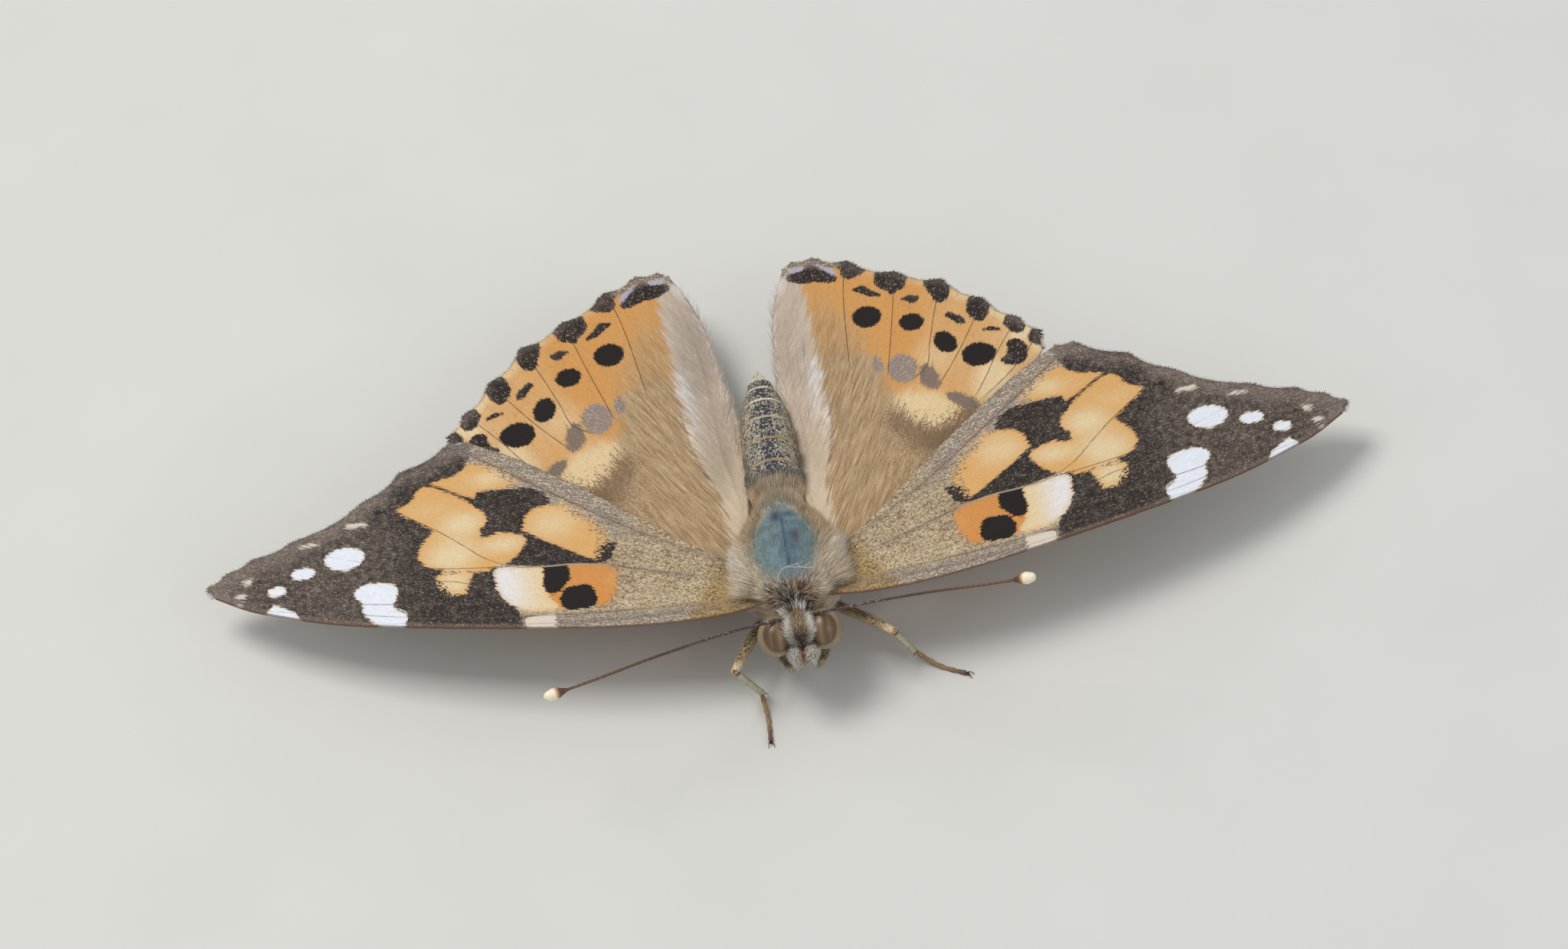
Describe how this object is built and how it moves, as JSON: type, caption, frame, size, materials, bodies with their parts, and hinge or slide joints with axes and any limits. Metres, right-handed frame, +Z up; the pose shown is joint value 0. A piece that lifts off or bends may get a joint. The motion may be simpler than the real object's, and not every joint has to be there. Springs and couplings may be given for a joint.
{
  "type": "painted lady butterfly",
  "caption": "Life-size painted lady butterfly at rest with spread wings, furry body, clubbed feelers and legs set on the ground.",
  "frame": {"origin": "on the floor, under the middle of the whole butterfly", "axes": "+Z up, head towards -Y, the animal's own left side towards +X"},
  "size_m": [0.0634, 0.0324, 0.012],
  "materials": {
    "wing_scales": "matt overlapping scales, orange with black and white marks",
    "fur": "soft grey-brown hair",
    "abdomen_scales": "dark scales speckled with ochre",
    "eye": "smooth tan brown",
    "antenna": "dark brown with a cream tip",
    "leg_scales": "ochre scales speckled with brown"
  },
  "bodies": {
    "root": {"thorax": "fur", "abdomen": "abdomen_scales", "head": "fur", "eye_left": "eye", "palp_left": "fur", "antenna_left": "antenna", "foreleg_left": "leg_scales", "midleg_left": "leg_scales", "hindleg_left": "leg_scales", "forewing_left": "wing_scales", "hindwing_left": "wing_scales", "eye_right": "eye", "palp_right": "fur", "antenna_right": "antenna", "foreleg_right": "leg_scales", "midleg_right": "leg_scales", "hindleg_right": "leg_scales", "forewing_right": "wing_scales", "hindwing_right": "wing_scales"}
  },
  "joints": []
}
